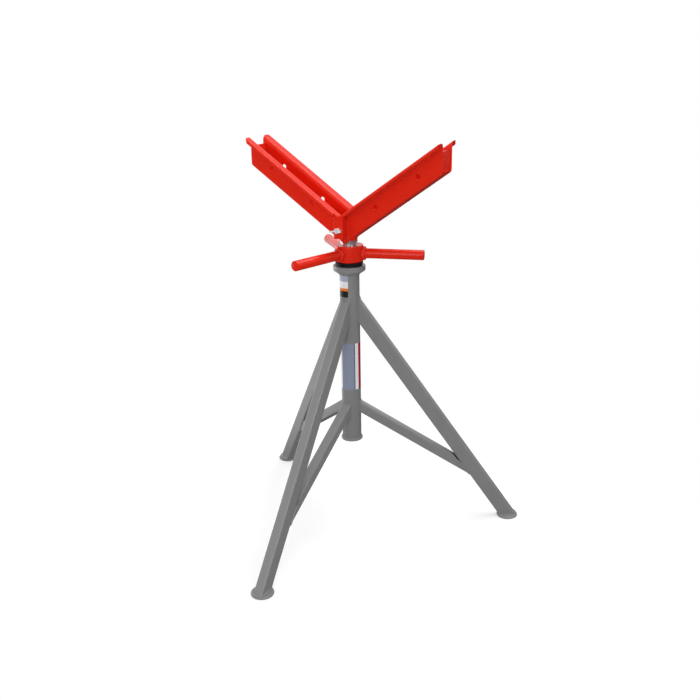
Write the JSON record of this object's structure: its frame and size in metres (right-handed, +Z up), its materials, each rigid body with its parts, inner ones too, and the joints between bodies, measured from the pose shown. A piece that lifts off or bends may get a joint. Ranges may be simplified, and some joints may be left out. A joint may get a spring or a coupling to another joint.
{
  "type": "pipe jack stand",
  "caption": "Welded tripod stand with a hand-turned screw jack under a wide V head that carries a pipe at a set height.",
  "frame": {"origin": "on the floor, on the axis of the centre tube and lifting screw", "axes": "+Z up along the screw; +X along the span of the V head; +Y along the pipe that the V head carries"},
  "size_m": [0.7998, 0.7245, 1.0345],
  "materials": {
    "grey_paint": "satin grey paint on welded steel",
    "red_enamel": "gloss red enamel on steel",
    "key_steel": "machined",
    "screw_steel": "machined, lightly oiled",
    "black_washer": "black oxide",
    "black_rubber": "matte",
    "zinc_plate": "bright zinc plate"
  },
  "bodies": {
    "base": {"centre_tube": "grey_paint", "tube_end_plate": "grey_paint", "top_collar": "grey_paint", "guide_key": "key_steel", "leg_1": "grey_paint", "leg_2": "grey_paint", "leg_3": "grey_paint", "brace_1": "grey_paint", "brace_2": "grey_paint", "brace_3": "grey_paint", "foot_1": "grey_paint", "foot_2": "grey_paint", "foot_3": "grey_paint", "thrust_washer": "black_washer"},
    "nut": {"seal_ring": "black_rubber", "handle_hub": "red_enamel", "handle_bar_1": "red_enamel", "handle_bar_2": "red_enamel", "handle_bar_3": "red_enamel"},
    "screw": {"lifting_screw": "screw_steel"},
    "head": {"left_arm": "red_enamel", "right_arm": "red_enamel", "left_end_plate": "red_enamel", "right_end_plate": "red_enamel", "head_socket": "red_enamel", "spine_post": "red_enamel"},
    "lock": {"wing_bolt": "zinc_plate"}
  },
  "joints": [
    {"name": "nut_spin", "type": "hinge", "parent": "base", "child": "nut", "pos_m": [0, 0, 0.7527], "axis": [0, 0, -1], "range_deg": [0, 21600]},
    {"name": "screw_lift", "type": "slide", "parent": "base", "child": "screw", "axis": [0, 0, 1], "range_m": [0, 0.381]},
    {"name": "head_swivel", "type": "hinge", "parent": "screw", "child": "head", "pos_m": [0, 0, 0.81], "axis": [0, 0, 1], "continuous": true},
    {"name": "wing_bolt_turn", "type": "hinge", "parent": "head", "child": "lock", "pos_m": [0, -0.0567, 0.819], "axis": [0, -1, 0], "range_deg": [0, 1080]}
  ],
  "couplings": [
    {"joint": "screw_lift", "follows": "nut_spin", "m_per_rad": 0.0010106}
  ]
}
